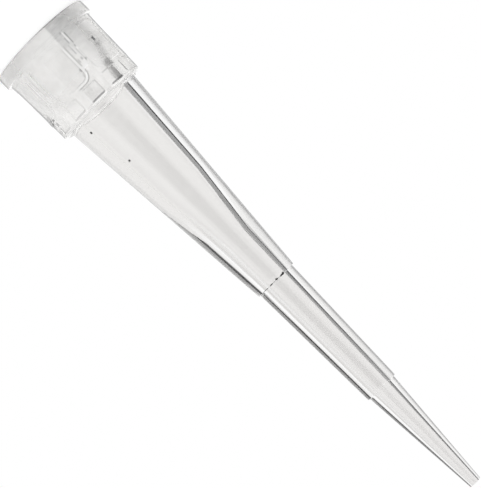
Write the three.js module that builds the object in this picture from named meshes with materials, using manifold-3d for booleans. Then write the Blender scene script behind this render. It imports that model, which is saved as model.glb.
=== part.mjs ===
// Clear micro-volume pipette tip, injection moulded in one piece.
// Millimetres. The tip stands on the rim of its collar: z = 0 is the rim plane, and +Z runs to the point.

import * as THREE from "three";
import { mergeVertices } from "three/addons/utils/BufferGeometryUtils.js";
import Module from "manifold-3d";

// Overall
const tipLength = 32.0;

// Rim: the flange round the mouth
const rimRadius = 2.95;
const rimHeight = 0.76;
const rimRounding = 0.12;

// Collar: the sleeve under the rim
const collarEnd = 4.65; // height of its end, where the barrel starts
const collarTopRadius = 2.76;
const collarEndRadius = 2.67;
const collarRounding = 0.28;

// Shallow pockets in the collar: a row of long ones, a band, and a row of short ones
const pocketDepth = 0.11;
const longPocketStart = 0.95;
const longPocketCount = 6;
const longRibWidth = 0.65; // between two long pockets
const longPocketRounding = 0.28;
const middleBand = 0.28;
const shortPocketHeight = 0.84;
const shortPocketCount = 12;
const shortRibWidth = 0.36;
const shortPocketRounding = 0.16;
const endBand = 0.17; // from the short pockets to the collar's end

// Outside of the barrel, from the collar to the point
const barrelTopRadius = 2.21;
const barrelEndRadius = 1.245;
const neckStart = 17.35; // first step, the upper volume mark
const neckTopRadius = 1.14;
const neckEndRadius = 0.96;
const noseStart = 25.1; // second step, the lower volume mark
const noseTopRadius = 0.862;
const pointRadius = 0.35;

// Socket for the nose cone, and the bore
const mouthRadius = 2.37;
const leadInDepth = 0.75;
const socketRadius = 1.9;
const socketEndRadius = 1.87;
const socketDepth = 2.3;
const chamberStart = 3.25;
const chamberTopRadius = 1.59;
const chamberEnd = 10.5;
const chamberEndRadius = 1.19;
const boreStart = 14.45;
const boreRadius = 0.705;
const boreNoseRadius = 0.465; // at the second step
const orificeRadius = 0.2;

// Fineness of the round surfaces
const turnSegments = 72;
const cornerSegments = 4;

const wasm = await Module();
wasm.setup();

// A closed three.js geometry as a solid: only positions stay, and shared corners become one.
function toSolid(geometry) {
  const bare = geometry.clone();
  bare.deleteAttribute("normal");
  bare.deleteAttribute("uv");
  const merged = mergeVertices(bare, 1e-5);
  return new wasm.Manifold(new wasm.Mesh({
    numProp: 3,
    vertProperties: new Float32Array(merged.attributes.position.array),
    triVerts: new Uint32Array(merged.index.array),
  }));
}

function toGeometry(solid) {
  const mesh = solid.getMesh();
  const geometry = new THREE.BufferGeometry();
  geometry.setAttribute("position", new THREE.BufferAttribute(mesh.vertProperties, 3));
  geometry.setIndex(new THREE.BufferAttribute(mesh.triVerts, 1));
  geometry.computeVertexNormals();
  return geometry;
}

// Turns a closed [radius, height] outline about the Z axis.
function turned(outline) {
  const points = outline.map(([radius, height]) => new THREE.Vector2(radius, height));
  points.push(points[0].clone());
  return new THREE.LatheGeometry(points, turnSegments).rotateX(Math.PI / 2);
}

// Points that round the corner at `corner` between `before` and `after`, `size` back along both edges.
function roundedCorner(before, corner, after, size) {
  const at = new THREE.Vector2(...corner);
  const start = new THREE.Vector2(...before).sub(at).setLength(size).add(at);
  const end = new THREE.Vector2(...after).sub(at).setLength(size).add(at);
  const curve = new THREE.QuadraticBezierCurve(start, at, end);
  return curve.getPoints(cornerSegments).map((point) => [point.x, point.y]);
}

// The whole tip without its pockets: down the outside from the rim to the point, and back up the bore.
function turnedBody() {
  const rimFaceOuter = [rimRadius, 0];
  const rimBackOuter = [rimRadius, rimHeight];
  const collarTop = [collarTopRadius, rimHeight];
  const collarCorner = [collarEndRadius, collarEnd];
  const barrelTop = [barrelTopRadius, collarEnd];
  const mouth = [mouthRadius, 0];
  const outside = [
    ...roundedCorner(mouth, rimFaceOuter, rimBackOuter, rimRounding),
    ...roundedCorner(rimFaceOuter, rimBackOuter, collarTop, rimRounding),
    collarTop,
    ...roundedCorner(collarTop, collarCorner, barrelTop, collarRounding),
    barrelTop,
    [barrelEndRadius, neckStart],
    [neckTopRadius, neckStart],
    [neckEndRadius, noseStart],
    [noseTopRadius, noseStart],
    [pointRadius, tipLength],
  ];
  const inside = [
    [orificeRadius, tipLength],
    [boreNoseRadius, noseStart],
    [boreRadius, boreStart],
    [chamberEndRadius, chamberEnd],
    [chamberTopRadius, chamberStart],
    [socketEndRadius, socketDepth],
    [socketRadius, leadInDepth],
    mouth,
  ];
  return toSolid(turned([...outside, ...inside]));
}

// Outline of one pocket seen from outside: x in radians round the collar, y along the axis.
function pocketOutline(angle, low, high, rounding) {
  const halfAngle = angle / 2;
  const across = rounding / collarTopRadius;
  const shape = new THREE.Shape();
  shape.moveTo(-halfAngle + across, low);
  shape.lineTo(halfAngle - across, low);
  shape.quadraticCurveTo(halfAngle, low, halfAngle, low + rounding);
  shape.lineTo(halfAngle, high - rounding);
  shape.quadraticCurveTo(halfAngle, high, halfAngle - across, high);
  shape.lineTo(-halfAngle + across, high);
  shape.quadraticCurveTo(-halfAngle, high, -halfAngle, high - rounding);
  shape.lineTo(-halfAngle, low + rounding);
  shape.quadraticCurveTo(-halfAngle, low, -halfAngle + across, low);
  return shape;
}

// A pocket's outline pushed straight out from the axis, so that its walls are radial.
function pocketPunch(outline, turn) {
  const innerRadius = barrelEndRadius;
  const outerRadius = rimRadius * 2;
  const geometry = new THREE.ExtrudeGeometry(outline, {
    depth: outerRadius - innerRadius,
    bevelEnabled: false,
    curveSegments: cornerSegments,
  });
  const position = geometry.attributes.position;
  for (let i = 0; i < position.count; i += 1) {
    const radius = innerRadius + position.getZ(i);
    const around = turn + position.getX(i);
    position.setXYZ(i, radius * Math.cos(around), radius * Math.sin(around), position.getY(i));
  }
  return toSolid(geometry);
}

// One row of equal pockets with ribs between them; the first rib's middle is on +X.
function pocketRow(count, low, high, ribWidth, rounding) {
  const pitch = (2 * Math.PI) / count;
  const outline = pocketOutline(pitch - ribWidth / collarTopRadius, low, high, rounding);
  let row = null;
  for (let i = 0; i < count; i += 1) {
    const punch = pocketPunch(outline, (i + 0.5) * pitch);
    row = row ? row.add(punch) : punch;
  }
  return row;
}

// Both rows, cut off where the floors of the pockets are.
function collarPockets() {
  const shortHigh = collarEnd - endBand;
  const shortLow = shortHigh - shortPocketHeight;
  const longHigh = shortLow - middleBand;
  const floor = toSolid(turned([
    [0, rimHeight],
    [collarTopRadius - pocketDepth, rimHeight],
    [collarEndRadius - pocketDepth, collarEnd],
    [0, collarEnd],
  ]));
  return pocketRow(longPocketCount, longPocketStart, longHigh, longRibWidth, longPocketRounding)
    .add(pocketRow(shortPocketCount, shortLow, shortHigh, shortRibWidth, shortPocketRounding))
    .subtract(floor);
}

const clearPlastic = new THREE.MeshStandardMaterial({
  color: 0xe6e9e8,
  roughness: 0.12,
  metalness: 0.0,
});

const tip = new THREE.Mesh(toGeometry(turnedBody().subtract(collarPockets())), clearPlastic);
tip.name = "pipette_tip";

const model = new THREE.Group();
model.add(tip);

export default model;
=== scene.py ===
"""Clear micro-volume pipette tip, one injection moulding, standing on the rim of its collar.

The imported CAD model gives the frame. The tip is made again here as one fine turned mesh with softened
pockets in its collar, and gets its clear plastic. It stands on a round pale plinth in a white studio,
with a soft lamp, and with flags that show as the dark lines in its walls.
"""

import math

import bpy
import numpy as np
from mathutils import Matrix, Vector


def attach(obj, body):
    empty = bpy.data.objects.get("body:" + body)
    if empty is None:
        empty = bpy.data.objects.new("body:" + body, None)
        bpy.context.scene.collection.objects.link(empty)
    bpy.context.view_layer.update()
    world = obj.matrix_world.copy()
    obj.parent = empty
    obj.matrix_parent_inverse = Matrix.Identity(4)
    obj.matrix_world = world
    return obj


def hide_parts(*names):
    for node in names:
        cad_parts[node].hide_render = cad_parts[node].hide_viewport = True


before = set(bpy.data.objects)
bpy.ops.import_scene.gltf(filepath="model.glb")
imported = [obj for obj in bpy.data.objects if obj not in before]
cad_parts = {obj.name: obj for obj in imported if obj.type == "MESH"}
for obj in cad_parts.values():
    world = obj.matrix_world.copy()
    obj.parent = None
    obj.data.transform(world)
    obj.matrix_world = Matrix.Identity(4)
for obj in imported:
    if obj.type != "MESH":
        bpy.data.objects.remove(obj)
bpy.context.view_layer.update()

MM = 0.001

# ---------------------------------------------------------------------------------------------
# Sizes of the tip in millimetres: radii, and heights above the rim plane
# ---------------------------------------------------------------------------------------------

TIP_LENGTH = 32.0

RIM_RADIUS = 2.95
RIM_HEIGHT = 0.76
RIM_ROUNDING = 0.12
RIM_FILLET = 0.07

COLLAR_END = 4.65
COLLAR_TOP_RADIUS = 2.76
COLLAR_END_RADIUS = 2.67
COLLAR_ROUNDING = 0.28
COLLAR_FILLET = 0.02

POCKET_DEPTH = 0.03
POCKET_WALL = 0.08
LONG_POCKET_START = 0.95
LONG_POCKET_END = 3.5
LONG_POCKET_COUNT = 6
LONG_RIB_WIDTH = 0.56
LONG_POCKET_ROUNDING = 0.46
SHORT_POCKET_START = 3.64
SHORT_POCKET_END = 4.49
SHORT_POCKET_COUNT = 12
SHORT_RIB_WIDTH = 0.46
SHORT_POCKET_ROUNDING = 0.12

# Painted light and shade lines along the edges of the pockets, for light bent by their walls: how clear
# (1) or dark (-1) each line is, where it starts and ends, as a distance inwards from the edge, and how
# wide its soft ends are. The near side of a pocket is the one with the lower angle from +X. The near
# lines of the long pockets also go round half of their end, and those of the short pockets round their
# start.
LONG_NEAR_LINES = ((1.0, 0.0, 0.085, 0.03), (-0.5, -0.08, -0.01, 0.03), (-0.3, 0.1, 0.16, 0.04))
LONG_FAR_LINES = ((-0.2, 0.0, 0.07, 0.04),)
SHORT_NEAR_LINES = ((-0.4, 0.0, 0.07, 0.04),)
SHORT_END_LINES = ((-1.0, 0.01, 0.09, 0.04), (1.0, -0.1, -0.03, 0.04))
SHORT_FAR_LINES = ((0.5, 0.0, 0.07, 0.04),)
LONG_LINES_START = 1.3
LONG_LINES_FADE = 0.3

# The painted lines are crisp on one side of the tip, at this angle from +X, and this faint on the
# others.
# The cosines are those of the angles away from that side where the lines start to be crisp and where
# they are quite crisp. The collar's end corner also has a little painted shade towards that side.
CRISP_SIDE = -117.5
CRISP_COSINES = (0.76, 0.92)
FAINT_LINES = 0.3
END_CORNER_SHADE = 0.24

# A painted shade line along the rim's front edge, in the same way
RIM_LINE_SIDE = -130.0
RIM_LINE_COSINES = (0.8, 0.95)
FAINT_RIM_LINE = 0.35

# Small marks of painted light and shade, the same round each long rib: offset of the middle from the
# rib, half width, start height, end height, and how clear (1) or dark (-1) the mark is
RIB_MARKS = (
    (-0.347, 0.035, 0.89, 1.57, -0.8),
    (-0.241, 0.03, 0.81, 1.42, 0.9),
    (-0.14, 0.05, 0.76, 0.87, -0.5),
    (-0.135, 0.03, 1.1, 1.47, -0.7),
    (-0.28, 0.04, 1.67, 1.8, -0.6),
    (-0.3, 0.05, 1.84, 1.96, 1.0),
    (-0.2, 0.03, 1.85, 2.73, -0.45),
    (-0.24, 0.06, 2.51, 2.64, -0.55),
    (-0.07, 0.06, 2.37, 2.52, -0.6),
    (-0.016, 0.045, 1.77, 2.1, -0.55),
    (-0.016, 0.04, 1.5, 1.77, -0.35),
    (0.143, 0.05, 2.37, 2.6, -0.4),
    (0.13, 0.2, 2.8, 2.94, 1.0),
    (0.09, 0.07, 3.0, 3.1, 0.6),
    (0.434, 0.06, 2.76, 2.95, -0.5),
    (0.5, 0.05, 3.06, 3.26, -0.3),
)

# Marks of painted light and shade that are on the collar only once: angle of the middle from +X in
# degrees, half width round the collar, start height, end height, and how clear or dark the mark is
SINGLE_MARKS = (
    (-150.8, 0.085, 1.92, 2.19, -1.0),
    (-153.6, 0.05, 1.95, 2.17, 1.0),
    (-144.7, 0.08, 1.9, 2.03, -0.5),
    (-150.2, 0.07, 2.22, 2.6, -0.3),
)
MARK_END_SOFT = 0.06
MARK_SIDE_SOFT = 0.03

BARREL_TOP_RADIUS = 2.21
BARREL_END_RADIUS = 1.245
NECK_START = 17.35
NECK_TOP_RADIUS = 1.14
NECK_END_RADIUS = 0.96
NOSE_START = 25.1
NOSE_TOP_RADIUS = 0.862
POINT_RADIUS = 0.35
EDGE_ROUNDING = 0.015

MOUTH_RADIUS = 2.37
LEAD_IN_DEPTH = 0.75
SOCKET_RADIUS = 1.9
SOCKET_END_RADIUS = 1.87
SOCKET_DEPTH = 2.3
CHAMBER_START = 3.25
CHAMBER_TOP_RADIUS = 1.59
CHAMBER_END = 10.5
CHAMBER_END_RADIUS = 1.19
BORE_START = 14.45
BORE_RADIUS = 0.705
BORE_NOSE_RADIUS = 0.465
ORIFICE_RADIUS = 0.2
BORE_ROUNDING = 0.12

# The matt finish of the socket fades to the bore's gloss between these heights
HAZE_START = 1.4
HAZE_END = 5.3

# Fineness of the mesh: the smallest distance between the collar's rings, the smallest angle in radians
# between columns, and the angle in degrees from which an edge is sharp
RING_GAP = 0.02
COLUMN_GAP = 0.0075
SHARP_EDGE = 50


# ---------------------------------------------------------------------------------------------
# The moulding
# ---------------------------------------------------------------------------------------------


def rounded_corner(before, corner, after, size, steps=4):
    """Points that round the corner between two neighbours, size back along both edges."""
    corner = Vector(corner)
    start = corner + (Vector(before) - corner).normalized() * size
    end = corner + (Vector(after) - corner).normalized() * size
    points = []
    for i in range(steps + 1):
        t = i / steps
        point = start * (1 - t) ** 2 + corner * (2 * t * (1 - t)) + end * t ** 2
        points.append((point.x, point.y))
    return points


def straight_wall(start, end, heights):
    """Points of the wall between two outline corners, at those of the given heights that lie on it."""
    low, high = sorted((start[1], end[1]))
    inside = [h for h in heights if low < h < high]
    if end[1] < start[1]:
        inside.reverse()
    share = [(h - start[1]) / (end[1] - start[1]) for h in inside]
    return [(start[0] + (end[0] - start[0]) * s, h) for s, h in zip(share, inside)]


def thinned(values, gap):
    """The values in order, without those that lie closer than the gap to the one before."""
    kept = []
    for value in sorted(values):
        if not kept or value - kept[-1] > gap:
            kept.append(value)
    return kept


def steps_over_wall(rounding):
    """Distances inwards from the edge of a pocket: across its wall, then over its rounded corner."""
    wall = np.linspace(-1.0, 2.0, 13) * POCKET_WALL
    corner = np.arange(2.2 * POCKET_WALL, rounding + POCKET_WALL, 0.055)
    return [*wall, *corner]


def collar_heights():
    """Heights of the rings of the collar: close together where a pocket starts or ends."""
    heights = list(np.arange(0.1, COLLAR_END, 0.06))
    for low, high, rounding in (
        (LONG_POCKET_START, LONG_POCKET_END, LONG_POCKET_ROUNDING),
        (SHORT_POCKET_START, SHORT_POCKET_END, SHORT_POCKET_ROUNDING),
    ):
        for step in steps_over_wall(rounding):
            heights += [low + step, high - step]
    return thinned(heights, RING_GAP)


def outside_rings():
    """Radius and height of each ring down the outside, from the rim face to the point."""
    mouth = (MOUTH_RADIUS, 0.0)
    rim_front = (RIM_RADIUS, 0.0)
    rim_back = (RIM_RADIUS, RIM_HEIGHT)
    collar_top = (COLLAR_TOP_RADIUS, RIM_HEIGHT)
    collar_corner = (COLLAR_END_RADIUS, COLLAR_END)
    barrel_top = (BARREL_TOP_RADIUS, COLLAR_END)
    barrel_end = (BARREL_END_RADIUS, NECK_START)
    neck_top = (NECK_TOP_RADIUS, NECK_START)
    neck_end = (NECK_END_RADIUS, NOSE_START)
    nose_top = (NOSE_TOP_RADIUS, NOSE_START)
    point = (POINT_RADIUS, TIP_LENGTH)
    orifice = (ORIFICE_RADIUS, TIP_LENGTH)
    collar = [
        h
        for h in collar_heights()
        if RIM_HEIGHT + RIM_FILLET + 0.01 < h < COLLAR_END - COLLAR_ROUNDING - 0.01
    ]
    barrel = np.linspace(COLLAR_END + 0.2, TIP_LENGTH - 0.2, 20)
    return [
        *rounded_corner(mouth, rim_front, rim_back, RIM_ROUNDING),
        *rounded_corner(rim_front, rim_back, collar_top, RIM_ROUNDING),
        *rounded_corner(rim_back, collar_top, collar_corner, RIM_FILLET),
        *straight_wall(collar_top, collar_corner, collar),
        *rounded_corner(collar_top, collar_corner, barrel_top, COLLAR_ROUNDING, 9),
        *rounded_corner(collar_corner, barrel_top, barrel_end, COLLAR_FILLET),
        *straight_wall(barrel_top, barrel_end, barrel),
        *rounded_corner(barrel_top, barrel_end, neck_top, EDGE_ROUNDING, 3),
        *rounded_corner(barrel_end, neck_top, neck_end, EDGE_ROUNDING, 3),
        *straight_wall(neck_top, neck_end, barrel),
        *rounded_corner(neck_top, neck_end, nose_top, EDGE_ROUNDING, 3),
        *rounded_corner(neck_end, nose_top, point, EDGE_ROUNDING, 3),
        *straight_wall(nose_top, point, barrel),
        *rounded_corner(nose_top, point, orifice, EDGE_ROUNDING, 3),
    ]


def bore_rings():
    """Radius and height of each ring back up the bore, from the orifice to the mouth."""
    corners = [
        (POINT_RADIUS, TIP_LENGTH),
        (ORIFICE_RADIUS, TIP_LENGTH),
        (BORE_NOSE_RADIUS, NOSE_START),
        (BORE_RADIUS, BORE_START),
        (CHAMBER_END_RADIUS, CHAMBER_END),
        (CHAMBER_TOP_RADIUS, CHAMBER_START),
        (SOCKET_END_RADIUS, SOCKET_DEPTH),
        (SOCKET_RADIUS, LEAD_IN_DEPTH),
        (MOUTH_RADIUS, 0.0),
        (RIM_RADIUS, 0.0),
    ]
    heights = np.linspace(0.3, TIP_LENGTH - 0.3, 20)
    rings = []
    for before, corner, after in zip(corners, corners[1:], corners[2:]):
        rounding = EDGE_ROUNDING if corner[1] in (0.0, TIP_LENGTH) else BORE_ROUNDING
        rings += rounded_corner(before, corner, after, rounding)
        if corner[1] > 0:
            clear = [h for h in heights if abs(h - corner[1]) > 0.2 and abs(h - after[1]) > 0.2]
            rings += straight_wall(corner, after, clear)
    return rings


def column_angles():
    """Angles of the columns round the tip: close together at the sides of the collar's ribs."""
    sixth = 2 * math.pi / LONG_POCKET_COUNT
    offsets = [
        *np.linspace(0, sixth / 2, 13),
        *np.arange(0, 0.55, 0.035) / COLLAR_TOP_RADIUS,
        *(sixth / 2 - np.arange(0.035, 0.16, 0.035) / COLLAR_TOP_RADIUS),
    ]
    for middle, width, rounding in (
        (0.0, LONG_RIB_WIDTH, LONG_POCKET_ROUNDING),
        (0.0, SHORT_RIB_WIDTH, SHORT_POCKET_ROUNDING),
        (sixth / 2, -SHORT_RIB_WIDTH, -SHORT_POCKET_ROUNDING),
    ):
        for step in steps_over_wall(abs(rounding)):
            inwards = math.copysign(step, width)
            offsets.append(middle + (width / 2 + inwards) / COLLAR_TOP_RADIUS)
    half = thinned([o for o in offsets if 0 <= o < sixth / 2 - 0.8 * COLUMN_GAP], COLUMN_GAP)
    one_sixth = half + [sixth / 2] + [sixth - offset for offset in reversed(half[1:])]
    return np.array([k * sixth + offset for k in range(LONG_POCKET_COUNT) for offset in one_sixth])


def smooth_step(value):
    """0 below 0 and 1 above 1, with a soft rise between them."""
    value = np.clip(value, 0, 1)
    return value * value * (3 - 2 * value)


def on_crisp_side(angles, side, cosines, faint):
    """1 on one side of the tip, at an angle in degrees, and faint on the others."""
    start, full = cosines
    towards = np.cos(angles - math.radians(side))
    return faint + (1 - faint) * smooth_step((towards - start) / (full - start))


def between(value, low, high, soft):
    """1 where the value lies between low and high, with soft ends, and 0 elsewhere."""
    return smooth_step((value - low) / soft + 0.5) * smooth_step((high - value) / soft + 0.5)


def inwards_from_edge(angles, height, count, start, end, rib_width, rounding):
    """For each column at this height: how far it is inside its pocket's edge, and which way that edge
    lies, as a share towards the pocket's far side (round the collar) and a share towards its end."""
    pitch = 2 * math.pi / count
    across = (angles % pitch - pitch / 2) * COLLAR_TOP_RADIUS
    along = height - (start + end) / 2
    past_side = np.abs(across) - (pitch / 2 * COLLAR_TOP_RADIUS - rib_width / 2) + rounding
    past_end = abs(along) - (end - start) / 2 + rounding
    outwards = np.hypot(np.maximum(past_side, 0), max(past_end, 0))
    distance = outwards + np.minimum(np.maximum(past_side, past_end), 0) - rounding
    in_corner = (past_side > 0) & (past_end > 0)
    to_side = np.where(in_corner, past_side / np.maximum(outwards, 1e-9), past_side > past_end)
    to_end = np.where(in_corner, past_end / np.maximum(outwards, 1e-9), past_side <= past_end)
    return -distance, to_side * np.sign(across), to_end * np.sign(along)


LONG_ROW = (
    LONG_POCKET_COUNT, LONG_POCKET_START, LONG_POCKET_END, LONG_RIB_WIDTH, LONG_POCKET_ROUNDING,
)
SHORT_ROW = (
    SHORT_POCKET_COUNT, SHORT_POCKET_START, SHORT_POCKET_END, SHORT_RIB_WIDTH, SHORT_POCKET_ROUNDING,
)


def pocket_depth(angles, height):
    """Depth below the collar's surface at each column, in millimetres."""
    rows = [inwards_from_edge(angles, height, *row)[0] for row in (LONG_ROW, SHORT_ROW)]
    return POCKET_DEPTH * smooth_step(np.maximum(*rows) / POCKET_WALL)


def lines_of(inside, lines):
    """The sum of some lines at each column, by how far it is inside its pocket's edge."""
    return sum(strength * between(inside, start, end, soft) for strength, start, end, soft in lines)


def long_pocket_lines(angles, height):
    """The painted light and shade lines along the walls of the long pockets."""
    inside, to_side, to_end = inwards_from_edge(angles, height, *LONG_ROW)
    sixth = 2 * math.pi / LONG_POCKET_COUNT
    across = (angles % sixth - sixth / 2) * COLLAR_TOP_RADIUS
    from_start = smooth_step((height - LONG_LINES_START) / LONG_LINES_FADE)
    near_half = smooth_step((-0.15 - across) / 0.25)
    near_way = np.clip(-to_side, 0, 1) + np.clip(to_end, 0, 1) * near_half
    far_way = np.clip(to_side, 0, 1)
    return from_start * (
        near_way * lines_of(inside, LONG_NEAR_LINES) + far_way * lines_of(inside, LONG_FAR_LINES)
    )


def short_pocket_lines(angles, height):
    """The painted light and shade lines along the walls of the short pockets."""
    inside, to_side, to_end = inwards_from_edge(angles, height, *SHORT_ROW)
    near_way = np.clip(-to_side, 0, 1) + np.clip(-to_end, 0, 1)
    return (
        near_way * lines_of(inside, SHORT_NEAR_LINES)
        + np.clip(to_end, 0, 1) * lines_of(inside, SHORT_END_LINES)
        + np.clip(to_side, 0, 1) * lines_of(inside, SHORT_FAR_LINES)
    )


def mark(height, away, half_width, start, end, strength):
    """One small mark, painted light where its strength is above 0 and painted shade where it is below,
    at columns this far from its middle round the collar.
    """
    reach = between(height, start, end, MARK_END_SOFT)
    return strength * reach * between(away, -half_width, half_width, MARK_SIDE_SOFT)


def rib_marks(angles, height):
    """The painted light and shade marks that every long rib has."""
    sixth = 2 * math.pi / LONG_POCKET_COUNT
    from_rib = ((angles + sixth / 2) % sixth - sixth / 2) * COLLAR_TOP_RADIUS
    return sum(mark(height, from_rib - offset, *row) for offset, *row in RIB_MARKS)


def single_marks(angles, height):
    """The painted light and shade marks that are on the collar only once."""
    total = np.zeros(len(angles))
    for angle, *row in SINGLE_MARKS:
        away = np.remainder(angles - math.radians(angle) + math.pi, 2 * math.pi) - math.pi
        total += mark(height, away * COLLAR_TOP_RADIUS, *row)
    return total


def collar_lines(angles, height):
    """How the collar's tint changes at each column: 1 where it is painted clear (painted light) and -1
    where it is painted dark (painted shade).
    """
    strength = on_crisp_side(angles, CRISP_SIDE, CRISP_COSINES, FAINT_LINES)
    # Painted shade on the collar's end corner, on the crisp half
    end_corner = between(height, COLLAR_END - 0.2, COLLAR_END - 0.03, 0.06)
    crisp_half = smooth_step(np.cos(angles - math.radians(CRISP_SIDE)) / 0.4 + 0.5)
    shade = END_CORNER_SHADE * end_corner * crisp_half
    repeated = (
        long_pocket_lines(angles, height)
        + short_pocket_lines(angles, height)
        + rib_marks(angles, height)
    )
    return np.clip(repeated * strength + single_marks(angles, height) - shade, -1, 1)


def rim_lines(angles, height):
    """The painted shade line along the front edge of the rim, strongest on the crisp side."""
    round_edge = between(height, -0.01, RIM_ROUNDING * 0.4, 0.02)
    return -round_edge * on_crisp_side(angles, RIM_LINE_SIDE, RIM_LINE_COSINES, FAINT_RIM_LINE)


BARREL, COLLAR, STEP, SOCKET, BORE = range(5)


def moulded_tip(finishes):
    """The whole tip as one closed mesh of rings and columns; finishes come in the order above."""
    outside = outside_rings()
    bore = bore_rings()
    angles = column_angles()
    columns = len(angles)
    rings = []
    ring_finish = []
    lines = []
    for radius, height in outside:
        on_collar = RIM_HEIGHT < height < COLLAR_END
        radii = radius - pocket_depth(angles, height) if on_collar else np.full(columns, radius)
        rings.append((radii, height))
        on_step = height > COLLAR_END - 0.001 and radius > BARREL_TOP_RADIUS
        ring_finish.append(STEP if on_step else COLLAR if height < COLLAR_END else BARREL)
        if on_collar:
            lines.append(collar_lines(angles, height))
        elif height < RIM_HEIGHT and radius > RIM_RADIUS - RIM_ROUNDING:
            lines.append(rim_lines(angles, height))
        else:
            lines.append(np.zeros(columns))
    for radius, height in bore:
        rings.append((np.full(columns, radius), height))
        ring_finish.append(SOCKET if height < HAZE_END else BORE)
        lines.append(np.zeros(columns))
    points = np.concatenate([
        np.stack([radii * np.cos(angles), radii * np.sin(angles), np.full(columns, height)], axis=1)
        for radii, height in rings
    ])
    faces = []
    face_finish = []
    for ring in range(len(rings)):
        after = (ring + 1) % len(rings)
        for column in range(columns):
            beside = (column + 1) % columns
            faces.append((
                ring * columns + column,
                ring * columns + beside,
                after * columns + beside,
                after * columns + column,
            ))
            face_finish.append(ring_finish[ring])
    mesh = bpy.data.meshes.new("moulded_tip")
    mesh.from_pydata((points * MM).tolist(), [], faces)
    for finish in finishes:
        mesh.materials.append(finish)
    mesh.polygons.foreach_set("material_index", face_finish)
    mesh.polygons.foreach_set("use_smooth", [True] * len(faces))
    mesh.set_sharp_from_angle(angle=math.radians(SHARP_EDGE))
    # The painted light (above 0) and painted shade (below 0) of the collar's and the rim's lines, on
    # the points
    line = mesh.attributes.new("painted_lines", "FLOAT", "POINT")
    line.data.foreach_set("value", np.concatenate(lines))
    mesh.update()
    tip = bpy.data.objects.new("moulded_tip", mesh)
    bpy.context.scene.collection.objects.link(tip)
    return tip


# ---------------------------------------------------------------------------------------------
# Finishes
# ---------------------------------------------------------------------------------------------

# What the plastic takes from light that goes once into its outer face and once out of it. The bore
# and the socket take nothing more.
BODY_TINT = (0.825, 0.815, 0.8)
POINT_TINT = (0.8, 0.785, 0.775)
COLLAR_TINT = (0.865, 0.857, 0.843)
COLLAR_MOTTLE = 0.055  # lighter and duller than that in its mottling
# CLEAR_TINT also gives painted light on the barrel's lighter side, its streaks and the collar's lines;
# LINE_TINT and SHADED_TINT are painted shade
CLEAR_TINT = (1.0, 1.0, 1.0)
LINE_TINT = (0.06, 0.06, 0.064)
# The edge tints are partly the longer path through a wall seen edge on, and partly painted shade
BARREL_EDGE_TINT = (0.15, 0.15, 0.155)
COLLAR_EDGE_TINT = (0.03, 0.03, 0.032)
SHADED_TINT = (0.33, 0.33, 0.33)
DARK_SPOT_TINT = (0.0, 0.0, 0.0)

# A painted lighter side down the barrel, painted light for light bent through its walls: angle of its
# middle from +X, half its width, and how softly its sides fade, in degrees
PAINTED_LIGHT_SIDE = 178.5
PAINTED_LIGHT_SIDE_HALF = 36.0
PAINTED_LIGHT_SIDE_SOFT = 3.0

# Narrow streaks down the point's half of the barrel, painted light where clear and painted shade where
# dark: angle of the middle from +X and half width in degrees, start height, end height, and tint
STREAK_FADE = 1.5
PAST_POINT = TIP_LENGTH + STREAK_FADE
STREAKS = (
    (-57.6, 5.2, 13.0, PAST_POINT, CLEAR_TINT),
    (12.0, 17.0, 13.0, PAST_POINT, CLEAR_TINT),
    (-72.0, 6.5, 13.0, PAST_POINT, (0.73, 0.72, 0.71)),
    (-66.3, 2.6, 13.0, PAST_POINT, (0.58, 0.57, 0.56)),
    (-48.5, 3.5, 14.3, 18.6, (0.1, 0.1, 0.1)),
    (-44.0, 5.0, 25.6, PAST_POINT, (0.16, 0.16, 0.16)),
    (-141.2, 2.2, 13.6, 25.0, (0.22, 0.22, 0.22)),
    (-139.0, 2.4, 25.6, PAST_POINT, (0.25, 0.25, 0.25)),
)
STREAK_SOFT = 1.2

# Painted shade over part of the rim and the start of the collar, in streaks. It starts sharply at one
# side of a sector, fades out round the tip towards the other, and fades out between two heights.
SHADED_SIDE = -146.0
SHADED_SIDE_HALF = 31.5
SHADED_SIDE_SOFT = 1.2
SHADED_FADE_HALF = 34.0
SHADED_FADE_SOFT = 12.0
SHADED_LOW = 0.8
SHADED_HIGH = 2.6

# Two specks of dirt on the barrel, and two dark spots in the corner under the first step:
# angle from +X in degrees, height, the barrel's radius there, size
SPECKS = (
    (-60.5, 5.39, 2.154, 0.085),
    (-70.5, 7.76, 1.974, 0.075),
    (-126.5, 17.3, 1.249, 0.068),
    (-104.6, 17.31, 1.248, 0.075),
)

# A broken dark line in the corner under the first step, dark at one end and fading
STEP_LINE_HEIGHT = 17.33
STEP_LINE_WIDTH = 0.06
STEP_LINE_DARK_END = -130.0
STEP_LINE_FAINT_END = -45.0

# How dark the painted shade on the edges of the barrel and of its last length is, as a share of that on
# the edges of its painted lighter side
BARREL_EDGES = 0.36
NOSE_EDGES = 0.9

# How far a wall is turned away where its dark edge starts and where it is full, from 0 (seen square
# on) to 1 (seen edge on)
BARREL_EDGE_TURNS = (0.46, 0.72)
COLLAR_EDGE_TURNS = (0.72, 0.8)

# The upright part of a face's normal where it starts to count as level, and where it does
LEVEL_NORMALS = (0.35, 0.6)

# Roughness of each part, before its haze is added
BARREL_GLOSS = 0.02
COLLAR_GLOSS = 0.03
STEP_GLOSS = 0.45
SOCKET_GLOSS = 0.38
BORE_GLOSS = 0.02

POLYPROPYLENE_IOR = 1.49
MOULD_GRAIN_HEIGHT = 0.004
SPECK_CORE = 0.7  # the part of a speck's radius that is quite dark

# Fineness of the mould's haze, ripple and grain, of the collar's mottling and of the streaks in its
# painted shade, and of the lumps in the dark line under the first step, as noise scales per metre
HAZE_SCALE = 420.0
RIPPLE_SCALE = 900.0
GRAIN_SCALE = 9000.0
MOTTLE_SCALE = 1700.0
SHADE_STREAK_SCALE = 5200.0
STEP_LINE_LUMP_SCALE = 5200.0


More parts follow.
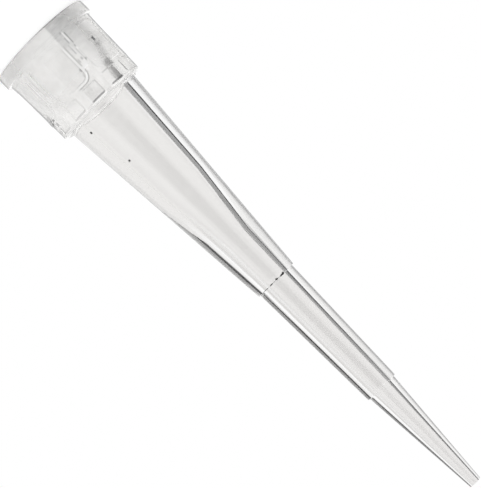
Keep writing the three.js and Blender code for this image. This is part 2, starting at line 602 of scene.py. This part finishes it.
def new_material(name):
    material = bpy.data.materials.new(name)
    material.use_nodes = True
    return material, material.node_tree, material.node_tree.nodes["Principled BSDF"]


def noise(tree, vector, scale, detail):
    """Adds a noise texture on this vector socket."""
    node = tree.nodes.new("ShaderNodeTexNoise")
    node.inputs["Scale"].default_value = scale
    node.inputs["Detail"].default_value = detail
    tree.links.new(vector, node.inputs["Vector"])
    return node.outputs["Fac"]


def stretched(tree, vector, scale):
    """Adds a mapping that draws a texture out along the axes whose scale is small."""
    node = tree.nodes.new("ShaderNodeMapping")
    node.inputs["Scale"].default_value = scale
    tree.links.new(vector, node.inputs["Vector"])
    return node.outputs["Vector"]


def moulded_surface_group():
    """Slow changes of gloss and the faint ripple and grain that a steel mould leaves on plastic."""
    group = bpy.data.node_groups.new("Moulded surface", "ShaderNodeTree")
    for name, value in (("Gloss", 0.03), ("Haze", 0.02), ("Ripple", 0.5), ("Grain", 0.1)):
        socket = group.interface.new_socket(name=name, in_out="INPUT", socket_type="NodeSocketFloat")
        socket.default_value = value
    group.interface.new_socket(name="Roughness", in_out="OUTPUT", socket_type="NodeSocketFloat")
    group.interface.new_socket(name="Height", in_out="OUTPUT", socket_type="NodeSocketFloat")
    nodes, links = group.nodes, group.links
    given = nodes.new("NodeGroupInput")
    result = nodes.new("NodeGroupOutput")
    place = nodes.new("ShaderNodeTexCoord").outputs["Object"]
    cloud = noise(group, place, HAZE_SCALE, 3.0)
    haze = computed(group, "MULTIPLY_ADD", cloud, given.outputs["Haze"], given.outputs["Gloss"])
    links.new(haze, result.inputs["Roughness"])
    ripple = noise(group, stretched(group, place, (1.0, 1.0, 0.12)), RIPPLE_SCALE, 1.0)
    grain = noise(group, place, GRAIN_SCALE, 2.0)
    ripple_height = computed(group, "MULTIPLY", ripple, given.outputs["Ripple"])
    height = computed(group, "MULTIPLY_ADD", grain, given.outputs["Grain"], ripple_height)
    links.new(height, result.inputs["Height"])
    return group


def side_group():
    """1 on the side of the tip that faces a direction, 0 away from it, by the cosines of two angles."""
    group = bpy.data.node_groups.new("Side", "ShaderNodeTree")
    group.interface.new_socket(name="Direction", in_out="INPUT", socket_type="NodeSocketVector")
    group.interface.new_socket(name="Outer Cosine", in_out="INPUT", socket_type="NodeSocketFloat")
    group.interface.new_socket(name="Inner Cosine", in_out="INPUT", socket_type="NodeSocketFloat")
    group.interface.new_socket(name="Mask", in_out="OUTPUT", socket_type="NodeSocketFloat")
    nodes, links = group.nodes, group.links
    given = nodes.new("NodeGroupInput")
    result = nodes.new("NodeGroupOutput")
    place = nodes.new("ShaderNodeTexCoord")
    level = nodes.new("ShaderNodeVectorMath")
    level.operation = "MULTIPLY"
    level.inputs[1].default_value = (1.0, 1.0, 0.0)
    outwards = nodes.new("ShaderNodeVectorMath")
    outwards.operation = "NORMALIZE"
    towards = nodes.new("ShaderNodeVectorMath")
    towards.operation = "DOT_PRODUCT"
    mask = nodes.new("ShaderNodeMapRange")
    mask.interpolation_type = "SMOOTHSTEP"
    links.new(place.outputs["Object"], level.inputs[0])
    links.new(level.outputs["Vector"], outwards.inputs[0])
    links.new(outwards.outputs["Vector"], towards.inputs[0])
    links.new(given.outputs["Direction"], towards.inputs[1])
    links.new(towards.outputs["Value"], mask.inputs["Value"])
    links.new(given.outputs["Outer Cosine"], mask.inputs["From Min"])
    links.new(given.outputs["Inner Cosine"], mask.inputs["From Max"])
    links.new(mask.outputs["Result"], result.inputs["Mask"])
    return group


def speck_group():
    """1 inside a speck round a place and 0 outside it, soft over the last part of its radius."""
    group = bpy.data.node_groups.new("Speck", "ShaderNodeTree")
    group.interface.new_socket(name="Place", in_out="INPUT", socket_type="NodeSocketVector")
    group.interface.new_socket(name="Radius", in_out="INPUT", socket_type="NodeSocketFloat")
    group.interface.new_socket(name="Mask", in_out="OUTPUT", socket_type="NodeSocketFloat")
    nodes, links = group.nodes, group.links
    given = nodes.new("NodeGroupInput")
    result = nodes.new("NodeGroupOutput")
    place = nodes.new("ShaderNodeTexCoord")
    away = nodes.new("ShaderNodeVectorMath")
    away.operation = "DISTANCE"
    inside = nodes.new("ShaderNodeMapRange")
    inside.inputs["To Min"].default_value = 1.0
    inside.inputs["To Max"].default_value = 0.0
    inner = nodes.new("ShaderNodeMath")
    inner.operation = "MULTIPLY"
    inner.inputs[1].default_value = SPECK_CORE
    links.new(place.outputs["Object"], away.inputs[0])
    links.new(given.outputs["Place"], away.inputs[1])
    links.new(given.outputs["Radius"], inner.inputs[0])
    links.new(away.outputs["Value"], inside.inputs["Value"])
    links.new(inner.outputs[0], inside.inputs["From Min"])
    links.new(given.outputs["Radius"], inside.inputs["From Max"])
    links.new(inside.outputs["Result"], result.inputs["Mask"])
    return group


def clear_plastic(name, surface, gloss, haze, ripple, grain, tint):
    """Clear polypropylene with its moulded surface: its roughness, how much that varies, the heights
    of its ripple and its grain, and its tint."""
    material, tree, shader = new_material(name)
    shader.inputs["Base Color"].default_value = (*tint, 1)
    shader.inputs["IOR"].default_value = POLYPROPYLENE_IOR
    shader.inputs["Transmission Weight"].default_value = 1.0
    moulded = tree.nodes.new("ShaderNodeGroup")
    moulded.name = "moulded_surface"
    moulded.node_tree = surface
    moulded.inputs["Gloss"].default_value = gloss
    moulded.inputs["Haze"].default_value = haze
    moulded.inputs["Ripple"].default_value = ripple
    moulded.inputs["Grain"].default_value = grain
    bump = tree.nodes.new("ShaderNodeBump")
    bump.inputs["Strength"].default_value = 1.0
    bump.inputs["Distance"].default_value = MOULD_GRAIN_HEIGHT * MM
    tree.links.new(moulded.outputs["Roughness"], shader.inputs["Roughness"])
    tree.links.new(moulded.outputs["Height"], bump.inputs["Height"])
    tree.links.new(bump.outputs["Normal"], shader.inputs["Normal"])
    return material


def mixed_colour(tree, share, first, second):
    """Adds a colour mix: a socket or a plain colour for each side, by a share socket."""
    mix = tree.nodes.new("ShaderNodeMix")
    mix.data_type = "RGBA"
    tree.links.new(share, mix.inputs["Factor"])
    for socket, colour in ((mix.inputs["A"], first), (mix.inputs["B"], second)):
        if isinstance(colour, tuple):
            socket.default_value = (*colour, 1)
        else:
            tree.links.new(colour, socket)
    return mix.outputs["Result"]


def computed(tree, operation, *values):
    """Adds one math node on sockets or plain numbers."""
    node = tree.nodes.new("ShaderNodeMath")
    node.operation = operation
    for socket, value in zip(node.inputs, values):
        if isinstance(value, (int, float)):
            socket.default_value = value
        else:
            tree.links.new(value, socket)
    return node.outputs[0]


def ranged(tree, value, low, high, at_low, at_high):
    """Adds a map from one range to another, held at both ends."""
    node = tree.nodes.new("ShaderNodeMapRange")
    tree.links.new(value, node.inputs["Value"])
    node.inputs["From Min"].default_value = low
    node.inputs["From Max"].default_value = high
    node.inputs["To Min"].default_value = at_low
    node.inputs["To Max"].default_value = at_high
    return node.outputs["Result"]


def facing(angle):
    """The direction out from the axis at this angle from +X, in degrees."""
    return (math.cos(math.radians(angle)), math.sin(math.radians(angle)), 0.0)


def on_side(tree, side, middle, half_width, soft):
    """Places the side group for a sector round the tip: its middle, half its width and how far its
    sides are soft, in degrees."""
    node = tree.nodes.new("ShaderNodeGroup")
    node.node_tree = side
    node.inputs["Direction"].default_value = facing(middle)
    node.inputs["Outer Cosine"].default_value = math.cos(math.radians(half_width + soft))
    node.inputs["Inner Cosine"].default_value = math.cos(math.radians(half_width - soft))
    return node.outputs["Mask"]


def seen_edge_on(tree, place, turns):
    """1 where a side wall is seen edge on and light goes a long way through it; 0 on level faces. The
    dark tint mixed in by it is partly that longer path and partly painted shade.
    """
    normal = tree.nodes.new("ShaderNodeSeparateXYZ")
    tree.links.new(place.outputs["Normal"], normal.inputs[0])
    upright_part = computed(tree, "ABSOLUTE", normal.outputs["Z"])
    side_face = ranged(tree, upright_part, *LEVEL_NORMALS, 1.0, 0.0)
    layer = tree.nodes.new("ShaderNodeLayerWeight")
    turned_away = ranged(tree, layer.outputs["Facing"], *turns, 0.0, 1.0)
    return computed(tree, "MULTIPLY", turned_away, side_face)


def streak_mask(tree, side, height, middle, half_width, start, end):
    """1 on a streak between two angles and two heights, in degrees and millimetres."""
    fade = STREAK_FADE
    begun = ranged(tree, height, (start - fade) * MM, (start + fade) * MM, 0.0, 1.0)
    ended = ranged(tree, height, (end - fade) * MM, (end + fade) * MM, 1.0, 0.0)
    reach = computed(tree, "MULTIPLY", begun, ended)
    return computed(tree, "MULTIPLY", reach, on_side(tree, side, middle, half_width, STREAK_SOFT))


def step_line_mask(tree, place, parts):
    """1 on the broken dark line under the first step, which gets thinner from its dark end."""
    angle = computed(tree, "ARCTAN2", parts.outputs["Y"], parts.outputs["X"])
    dark_end = math.radians(STEP_LINE_DARK_END)
    fading = ranged(tree, angle, dark_end, math.radians(STEP_LINE_FAINT_END), 1.0, 0.0)
    started = computed(tree, "GREATER_THAN", angle, dark_end)
    lump_noise = noise(tree, place.outputs["Object"], STEP_LINE_LUMP_SCALE, 1.0)
    lumps = ranged(tree, lump_noise, 0.4, 0.6, 0.15, 1.0)
    amount = computed(tree, "MULTIPLY", computed(tree, "MULTIPLY", fading, started), lumps)
    reach = computed(tree, "MULTIPLY", amount, STEP_LINE_WIDTH * MM)
    level = computed(tree, "SUBTRACT", parts.outputs["Z"], STEP_LINE_HEIGHT * MM)
    return computed(tree, "LESS_THAN", computed(tree, "ABSOLUTE", level), reach)


def marked_barrel(material, side, speck):
    """The barrel's tint, with painted light down one side, streaks of painted light and shade, its
    edges darkened partly with painted shade, its specks of dirt and a broken dark line under the first
    step.
    """
    tree = material.node_tree
    nodes, links = tree.nodes, tree.links
    place = nodes.new("ShaderNodeTexCoord")
    parts = nodes.new("ShaderNodeSeparateXYZ")
    links.new(place.outputs["Object"], parts.inputs[0])
    height = parts.outputs["Z"]
    along = ranged(tree, height, COLLAR_END * MM, TIP_LENGTH * MM, 0.0, 1.0)
    colour = mixed_colour(tree, along, BODY_TINT, POINT_TINT)
    # Painted light down one side of the barrel
    painted_light_side = on_side(tree, side, PAINTED_LIGHT_SIDE, PAINTED_LIGHT_SIDE_HALF, PAINTED_LIGHT_SIDE_SOFT)
    colour = mixed_colour(tree, painted_light_side, colour, CLEAR_TINT)
    # Streaks of painted light and painted shade
    for *row, tint in STREAKS:
        colour = mixed_colour(tree, streak_mask(tree, side, height, *row), colour, tint)
    # The edges darken partly by the longer path and partly with painted shade
    nose_low, nose_high = (NOSE_START - 0.5) * MM, (NOSE_START + 0.5) * MM
    dark_share = ranged(tree, height, nose_low, nose_high, BARREL_EDGES, NOSE_EDGES)
    share = computed(tree, "MAXIMUM", painted_light_side, dark_share)
    edge = computed(tree, "MULTIPLY", seen_edge_on(tree, place, BARREL_EDGE_TURNS), share)
    colour = mixed_colour(tree, edge, colour, BARREL_EDGE_TINT)
    for angle, speck_height, radius, size in SPECKS:
        out = Vector(facing(angle)) * radius
        spot = nodes.new("ShaderNodeGroup")
        spot.node_tree = speck
        spot.inputs["Place"].default_value = (out.x * MM, out.y * MM, speck_height * MM)
        spot.inputs["Radius"].default_value = size * MM
        colour = mixed_colour(tree, spot.outputs["Mask"], colour, DARK_SPOT_TINT)
    colour = mixed_colour(tree, step_line_mask(tree, place, parts), colour, DARK_SPOT_TINT)
    links.new(colour, nodes["Principled BSDF"].inputs["Base Color"])


def lined_collar(material, side):
    """The collar's tint, with its mottling, painted shade over part of it near the rim, painted light
    and shade lines along its pockets, and its edges darkened partly with painted shade.
    """
    tree = material.node_tree
    place = tree.nodes.new("ShaderNodeTexCoord")
    parts = tree.nodes.new("ShaderNodeSeparateXYZ")
    tree.links.new(place.outputs["Object"], parts.inputs[0])
    mottling = noise(tree, place.outputs["Object"], MOTTLE_SCALE, 4.0)
    patches = ranged(tree, mottling, 0.4, 0.62, 0.0, 1.0)
    lighter = tuple(part + COLLAR_MOTTLE for part in COLLAR_TINT)
    duller = tuple(part - COLLAR_MOTTLE for part in COLLAR_TINT)
    colour = mixed_colour(tree, patches, lighter, duller)

    # Painted shade over part of the rim and the start of the collar, in streaks
    sharp_start = on_side(tree, side, SHADED_SIDE, SHADED_SIDE_HALF, SHADED_SIDE_SOFT)
    shaded_start = SHADED_SIDE + SHADED_SIDE_HALF
    fading = on_side(tree, side, shaded_start, SHADED_FADE_HALF, SHADED_FADE_SOFT)
    sector = computed(tree, "MULTIPLY", sharp_start, fading)
    near_rim = ranged(tree, parts.outputs["Z"], SHADED_LOW * MM, SHADED_HIGH * MM, 1.0, 0.0)
    drawn_out = stretched(tree, place.outputs["Object"], (0.3, 0.3, 1.0))
    shade_streaks = ranged(tree, noise(tree, drawn_out, SHADE_STREAK_SCALE, 3.0), 0.3, 0.7, 0.55, 1.0)
    shaded = computed(tree, "MULTIPLY", computed(tree, "MULTIPLY", sector, near_rim), shade_streaks)
    colour = mixed_colour(tree, shaded, colour, SHADED_TINT)

    # Painted light (clear) and painted shade (dark) lines and marks, from the points of the mesh
    line = tree.nodes.new("ShaderNodeAttribute")
    line.attribute_name = "painted_lines"
    clear = computed(tree, "MAXIMUM", line.outputs["Fac"], 0.0)
    dark = computed(tree, "MAXIMUM", computed(tree, "MULTIPLY", line.outputs["Fac"], -1.0), 0.0)
    colour = mixed_colour(tree, clear, colour, CLEAR_TINT)
    colour = mixed_colour(tree, dark, colour, LINE_TINT)
    # Edges darkened partly by the longer path and partly with painted shade
    edge = seen_edge_on(tree, place, COLLAR_EDGE_TURNS)
    colour = mixed_colour(tree, edge, colour, COLLAR_EDGE_TINT)
    tree.links.new(colour, tree.nodes["Principled BSDF"].inputs["Base Color"])


def socket_haze(material):
    """The matt finish of the socket, which fades to gloss where the bore goes on."""
    tree = material.node_tree
    place = tree.nodes.new("ShaderNodeTexCoord")
    parts = tree.nodes.new("ShaderNodeSeparateXYZ")
    tree.links.new(place.outputs["Object"], parts.inputs[0])
    gloss = ranged(tree, parts.outputs["Z"], HAZE_START * MM, HAZE_END * MM, SOCKET_GLOSS, BORE_GLOSS)
    tree.links.new(gloss, tree.nodes["moulded_surface"].inputs["Gloss"])


surface = moulded_surface_group()
finishes = [
    clear_plastic(name, surface, gloss, haze, ripple, grain, tint)
    for name, gloss, haze, ripple, grain, tint in (  # in the order of BARREL to BORE
        ("barrel_polypropylene", BARREL_GLOSS, 0.02, 0.3, 0.0, BODY_TINT),
        ("collar_polypropylene", COLLAR_GLOSS, 0.04, 0.35, 0.1, COLLAR_TINT),
        ("step_polypropylene", STEP_GLOSS, 0.1, 1.0, 0.5, BODY_TINT),
        ("socket_polypropylene", SOCKET_GLOSS, 0.06, 0.6, 0.1, CLEAR_TINT),
        ("bore_polypropylene", BORE_GLOSS, 0.02, 0.3, 0.0, CLEAR_TINT),
    )
]
side = side_group()
marked_barrel(finishes[BARREL], side, speck_group())
lined_collar(finishes[COLLAR], side)
socket_haze(finishes[SOCKET])

tip = moulded_tip(finishes)
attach(tip, "root")
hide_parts("pipette_tip")


# ---------------------------------------------------------------------------------------------
# Camera: level, in front of the tip and a little to its left, rolled so that the point is low right
# ---------------------------------------------------------------------------------------------

CAMERA_AZIMUTH = -12.5
CAMERA_ROLL = 45.42
CAMERA_DISTANCE = 110.0
CAMERA_HEIGHT = 14.74
VIEW_WIDTH = 25.187

turn = math.radians(CAMERA_AZIMUTH)
roll = math.radians(CAMERA_ROLL)
forward = Vector((-math.sin(turn), math.cos(turn), 0))
beside = Vector((math.cos(turn), math.sin(turn), 0))
upright = Vector((0, 0, 1))
right = upright * math.cos(roll) - beside * math.sin(roll)
up = -upright * math.sin(roll) - beside * math.cos(roll)
aim = Vector((0, 0, CAMERA_HEIGHT))
camera = bpy.data.objects.new("camera", bpy.data.cameras.new("camera"))
bpy.context.scene.collection.objects.link(camera)
camera.matrix_world = (
    Matrix.Translation((aim - forward * CAMERA_DISTANCE) * MM)
    @ Matrix((right, up, -forward)).transposed().to_4x4()
)
camera.data.sensor_width = 36.0
camera.data.lens = camera.data.sensor_width * CAMERA_DISTANCE / VIEW_WIDTH
camera.data.clip_start = 0.001
bpy.context.scene.camera = camera


# ---------------------------------------------------------------------------------------------
# Plinth, light and flags
# ---------------------------------------------------------------------------------------------

PLINTH_RADIUS = 20.0
PLINTH_PAINT = (0.6, 0.6, 0.597)
PLINTH_GLOW = 0.55
STUDIO_LEVEL = 0.85  # of the light that the studio throws; seen directly it is 1

LAMP_PLACE = (-90, -60, 170)
LAMP_SIZE = 160.0
LAMP_POWER = 0.02  # watts

# Flags, curved cards that stand round the tip: the angles from straight behind it, as the camera sees
# it, between which each one stands, how pale it is, and the height of its lower edge, which fades out
FLAG_DISTANCE = 100.0
FLAG_LOW = -24.0
FLAG_FADE = 20.0
FLAG_HIGH = 50.0
FLAGS = (
    ("black_flag", 40.5, 49.5, 0.01, FLAG_LOW),
    ("grey_flag", 50.0, 75.5, 0.42, FLAG_LOW),
    ("pale_flag", 76.0, 96.0, 0.66, FLAG_LOW),
    ("dark_flag", 150.0, 210.0, 0.02, FLAG_LOW),
    ("tall_flag", 182.0, 206.0, 0.02, -90.0),
)


def seen_directly(tree):
    """Adds nodes that give 1 for a ray from the camera, a reflection or clear plastic, and else 0."""
    path = tree.nodes.new("ShaderNodeLightPath")
    either = tree.nodes.new("ShaderNodeMath")
    either.operation = "MAXIMUM"
    seen = tree.nodes.new("ShaderNodeMath")
    seen.operation = "MAXIMUM"
    tree.links.new(path.outputs["Is Camera Ray"], either.inputs[0])
    tree.links.new(path.outputs["Is Glossy Ray"], either.inputs[1])
    tree.links.new(either.outputs[0], seen.inputs[0])
    tree.links.new(path.outputs["Is Transmission Ray"], seen.inputs[1])
    return seen.outputs[0]


def white_studio():
    """Even white light from all round."""
    world = bpy.data.worlds.new("studio")
    world.use_nodes = True
    bpy.context.scene.world = world
    tree = world.node_tree
    background = tree.nodes["Background"]
    background.inputs["Color"].default_value = (1, 1, 1, 1)
    level = tree.nodes.new("ShaderNodeMapRange")
    level.inputs["To Min"].default_value = STUDIO_LEVEL
    level.inputs["To Max"].default_value = 1.0
    tree.links.new(seen_directly(tree), level.inputs["Value"])
    tree.links.new(level.outputs["Result"], background.inputs["Strength"])


def round_plinth():
    """The top of a round pale plinth: the floor that the tip stands on."""
    count = 96
    angles = [2 * math.pi * i / count for i in range(count)]
    rim = [
        (PLINTH_RADIUS * MM * math.cos(angle), PLINTH_RADIUS * MM * math.sin(angle), 0)
        for angle in angles
    ]
    mesh = bpy.data.meshes.new("plinth")
    mesh.from_pydata(rim, [], [tuple(range(count))])
    material, tree, shader = new_material("plinth_paint")
    shader.inputs["Base Color"].default_value = (*PLINTH_PAINT, 1)
    shader.inputs["Roughness"].default_value = 0.8
    shader.inputs["Specular IOR Level"].default_value = 0.2
    shader.inputs["Emission Color"].default_value = (1, 1, 1, 1)
    glow = tree.nodes.new("ShaderNodeMath")
    glow.operation = "MULTIPLY"
    glow.inputs[1].default_value = PLINTH_GLOW
    tree.links.new(seen_directly(tree), glow.inputs[0])
    tree.links.new(glow.outputs[0], shader.inputs["Emission Strength"])
    mesh.materials.append(material)
    plinth = bpy.data.objects.new("plinth", mesh)
    bpy.context.scene.collection.objects.link(plinth)


def flag(name, start, end, shade, lowest):
    """A curved card beside the tip that shows only in and through its plastic. Its lower edge fades."""
    count = 24
    points = []
    for i in range(count + 1):
        angle = math.radians(start + (end - start) * i / count)
        outwards = forward * math.cos(angle) - beside * math.sin(angle)
        for height in (lowest, FLAG_HIGH):
            points.append(outwards * FLAG_DISTANCE * MM + upright * height * MM)
    faces = [(2 * i, 2 * i + 1, 2 * i + 3, 2 * i + 2) for i in range(count)]
    mesh = bpy.data.meshes.new(name)
    mesh.from_pydata(points, [], faces)
    material, tree, shader = new_material(name)
    shader.inputs["Base Color"].default_value = (shade, shade, shade, 1)
    shader.inputs["Roughness"].default_value = 1.0
    shader.inputs["Specular IOR Level"].default_value = 0.0
    place = tree.nodes.new("ShaderNodeTexCoord")
    parts = tree.nodes.new("ShaderNodeSeparateXYZ")
    tree.links.new(place.outputs["Object"], parts.inputs[0])
    fade = ranged(tree, parts.outputs["Z"], lowest * MM, (lowest + FLAG_FADE) * MM, 0.0, 1.0)
    tree.links.new(fade, shader.inputs["Alpha"])
    mesh.materials.append(material)
    card = bpy.data.objects.new(name, mesh)
    bpy.context.scene.collection.objects.link(card)
    card.visible_camera = False
    card.visible_shadow = False


def soft_lamp():
    """A round lamp above the tip, in front of it and to its left."""
    light = bpy.data.lights.new("soft_lamp", "AREA")
    light.shape = "DISK"
    light.size = LAMP_SIZE * MM
    light.energy = LAMP_POWER
    lamp = bpy.data.objects.new("soft_lamp", light)
    bpy.context.scene.collection.objects.link(lamp)
    lamp.location = Vector(LAMP_PLACE) * MM
    lamp.rotation_mode = "QUATERNION"
    lamp.rotation_quaternion = (aim * MM - lamp.location).to_track_quat("-Z", "Y")


white_studio()
round_plinth()
soft_lamp()
for row in FLAGS:
    flag(*row)

# Light is reflected many times inside the thin walls before it comes out
WALL_BOUNCES = 80

scene = bpy.context.scene
scene.view_settings.view_transform = "Standard"
scene.cycles.max_bounces = WALL_BOUNCES
scene.cycles.transmission_bounces = WALL_BOUNCES
scene.cycles.glossy_bounces = WALL_BOUNCES
